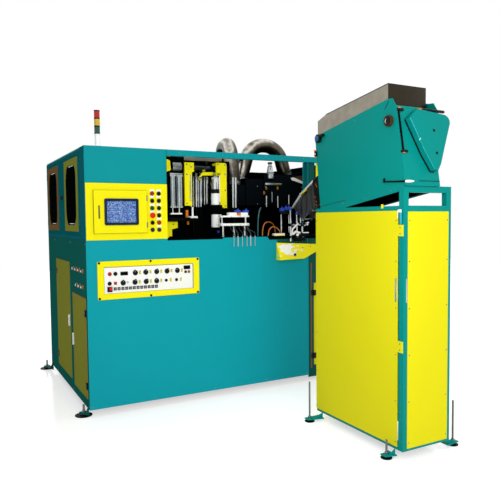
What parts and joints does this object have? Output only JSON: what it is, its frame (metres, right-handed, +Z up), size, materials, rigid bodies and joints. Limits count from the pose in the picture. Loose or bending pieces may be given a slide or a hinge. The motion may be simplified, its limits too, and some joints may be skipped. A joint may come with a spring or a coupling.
{
  "type": "blow moulding machine",
  "caption": "Stretch blow moulding machine: long sheet-steel cabinet with control tower, open blow bay, oven ducts, and a separate preform feeder stand with hopper and chute.",
  "frame": {"origin": "on the floor under the middle of the whole machine with its feeder stand", "axes": "+X to the machine's right seen from its operator side, +Y from the feeder stand to the machine's back, +Z up"},
  "size_m": [2.758, 3.6554, 2.338],
  "materials": {
    "teal_sheet": "smooth semi-gloss teal enamel",
    "dark_green_sheet": "smooth semi-gloss dark blue-green enamel",
    "yellow_enamel": "smooth glossy yellow enamel",
    "feeder_teal": "smooth semi-gloss green-teal enamel",
    "hopper_steel": "rolled stainless sheet",
    "black_enamel": "black enamel, slightly glossy",
    "bright_steel": "turned and drawn bright steel",
    "polished_duct": "polished stainless tube",
    "zinc_steel": "zinc-plated steel",
    "white_face": "white enamel",
    "aluminium_plate": "milled aluminium",
    "screen_glass": "dark display glass",
    "window_glass": "dark tinted glazing",
    "navy_plastic": "navy moulded plastic",
    "black_plastic": "black moulded plastic",
    "red_plastic": "bright red moulded plastic",
    "dark_red_plastic": "dark red moulded plastic",
    "dark_green_plastic": "dark green moulded plastic",
    "signal_lenses": "translucent signal lenses, red, amber and green",
    "signal_white": "white moulded plastic",
    "hose_orange": "orange polyurethane hose"
  },
  "bodies": {
    "machine": {"base_frame": "dark_green_sheet", "levelling_feet": "zinc_steel", "bed_plate": "black_enamel", "front_skin": "teal_sheet", "left_skin": "dark_green_sheet", "rear_wall": "teal_sheet", "right_wall": "dark_green_sheet", "upper_frame": "teal_sheet", "upper_right_panel": "yellow_enamel", "tower_shell": "teal_sheet", "operator_panel": "yellow_enamel", "heater_panel_frame": "yellow_enamel", "heater_panel_face": "white_face", "signal_foot": "signal_white", "signal_lenses": "signal_lenses", "clamp_frame": "yellow_enamel", "clamp_cylinder": "black_enamel", "stretch_cylinders": "aluminium_plate", "blow_nozzle": "aluminium_plate", "station_base": "black_enamel", "outfeed_rails": "white_face", "oven_housing": "black_enamel", "oven_ducts": "polished_duct", "air_hoses": "hose_orange", "stand_frame": "teal_sheet", "stand_panels": "yellow_enamel", "stand_side_panel": "yellow_enamel", "feeder_casing": "feeder_teal", "hopper": "hopper_steel", "casing_bars": "black_enamel", "drive_guard": "feeder_teal", "preform_chute": "zinc_steel", "infeed_posts": "zinc_steel", "reject_tray": "yellow_enamel"},
    "operator_hatch_body": {"operator_hatch": "yellow_enamel", "screen_bezel": "navy_plastic", "screen_glass": "screen_glass"},
    "window_near_body": {"window_door_near": "teal_sheet", "window_frame_near": "yellow_enamel", "window_glass_near": "window_glass"},
    "window_far_body": {"window_door_far": "teal_sheet", "window_frame_far": "yellow_enamel", "window_glass_far": "window_glass"},
    "cabinet_near_body": {"cabinet_door_near": "yellow_enamel"},
    "cabinet_far_body": {"cabinet_door_far": "yellow_enamel"},
    "cabinet_right_body": {"cabinet_door_right": "yellow_enamel"},
    "platen_body": {"moving_platen": "yellow_enamel"},
    "stretch_body": {"stretch_rods": "bright_steel"},
    "button_1_left_body": {"button_1_left": "dark_red_plastic"},
    "button_1_right_body": {"button_1_right": "black_plastic"},
    "button_2_left_body": {"button_2_left": "black_plastic"},
    "button_2_right_body": {"button_2_right": "black_plastic"},
    "button_3_left_body": {"button_3_left": "dark_green_plastic"},
    "button_3_right_body": {"button_3_right": "black_plastic"},
    "stop_button_body": {"stop_button": "red_plastic"},
    "button_4_right_body": {"button_4_right": "black_plastic"},
    "button_5_left_body": {"button_5_left": "black_plastic"},
    "button_5_right_body": {"button_5_right": "dark_red_plastic"},
    "button_6_left_body": {"button_6_left": "navy_plastic"},
    "button_6_right_body": {"button_6_right": "navy_plastic"}
  },
  "joints": [
    {"name": "hatch_hinge", "type": "hinge", "parent": "machine", "child": "operator_hatch_body", "pos_m": [-0.798, 0.0113, 1.568], "axis": [0, 0, 1], "range_deg": [0, 110]},
    {"name": "window_near_hinge", "type": "hinge", "parent": "machine", "child": "window_near_body", "pos_m": [-1.278, 0.2067, 1.711], "axis": [0, 0, 1], "range_deg": [0, 100]},
    {"name": "window_far_hinge", "type": "hinge", "parent": "machine", "child": "window_far_body", "pos_m": [-1.278, 1.6447, 1.711], "axis": [0, 0, -1], "range_deg": [0, 100]},
    {"name": "cabinet_near_hinge", "type": "hinge", "parent": "machine", "child": "cabinet_near_body", "pos_m": [-1.281, 0.0767, 0.523], "axis": [0, 0, 1], "range_deg": [0, 110]},
    {"name": "cabinet_far_hinge", "type": "hinge", "parent": "machine", "child": "cabinet_far_body", "pos_m": [-1.281, 1.2767, 0.657], "axis": [0, 0, -1], "range_deg": [0, 110]},
    {"name": "cabinet_right_hinge", "type": "hinge", "parent": "machine", "child": "cabinet_right_body", "pos_m": [0.797, 0.0312, 0.528], "axis": [0, 0, -1], "range_deg": [0, 110]},
    {"name": "platen_slide", "type": "slide", "parent": "machine", "child": "platen_body", "axis": [1, 0, 0], "range_m": [0, 0.14]},
    {"name": "stretch_slide", "type": "slide", "parent": "machine", "child": "stretch_body", "axis": [0, 0, 1], "range_m": [0, 0.04]},
    {"name": "button_1_left_push", "type": "slide", "parent": "machine", "child": "button_1_left_body", "axis": [0, 1, 0], "range_m": [0, 0.0045], "stiffness_N_per_m": 400},
    {"name": "button_1_right_push", "type": "slide", "parent": "machine", "child": "button_1_right_body", "axis": [0, 1, 0], "range_m": [0, 0.0045], "stiffness_N_per_m": 400},
    {"name": "button_2_left_push", "type": "slide", "parent": "machine", "child": "button_2_left_body", "axis": [0, 1, 0], "range_m": [0, 0.0045], "stiffness_N_per_m": 400},
    {"name": "button_2_right_push", "type": "slide", "parent": "machine", "child": "button_2_right_body", "axis": [0, 1, 0], "range_m": [0, 0.0045], "stiffness_N_per_m": 400},
    {"name": "button_3_left_push", "type": "slide", "parent": "machine", "child": "button_3_left_body", "axis": [0, 1, 0], "range_m": [0, 0.0045], "stiffness_N_per_m": 400},
    {"name": "button_3_right_push", "type": "slide", "parent": "machine", "child": "button_3_right_body", "axis": [0, 1, 0], "range_m": [0, 0.0045], "stiffness_N_per_m": 400},
    {"name": "stop_button_push", "type": "slide", "parent": "machine", "child": "stop_button_body", "axis": [0, 1, 0], "range_m": [0, 0.0045], "stiffness_N_per_m": 400},
    {"name": "button_4_right_push", "type": "slide", "parent": "machine", "child": "button_4_right_body", "axis": [0, 1, 0], "range_m": [0, 0.0045], "stiffness_N_per_m": 400},
    {"name": "button_5_left_push", "type": "slide", "parent": "machine", "child": "button_5_left_body", "axis": [0, 1, 0], "range_m": [0, 0.0045], "stiffness_N_per_m": 400},
    {"name": "button_5_right_push", "type": "slide", "parent": "machine", "child": "button_5_right_body", "axis": [0, 1, 0], "range_m": [0, 0.0045], "stiffness_N_per_m": 400},
    {"name": "button_6_left_push", "type": "slide", "parent": "machine", "child": "button_6_left_body", "axis": [0, 1, 0], "range_m": [0, 0.0045], "stiffness_N_per_m": 400},
    {"name": "button_6_right_push", "type": "slide", "parent": "machine", "child": "button_6_right_body", "axis": [0, 1, 0], "range_m": [0, 0.0045], "stiffness_N_per_m": 400}
  ]
}
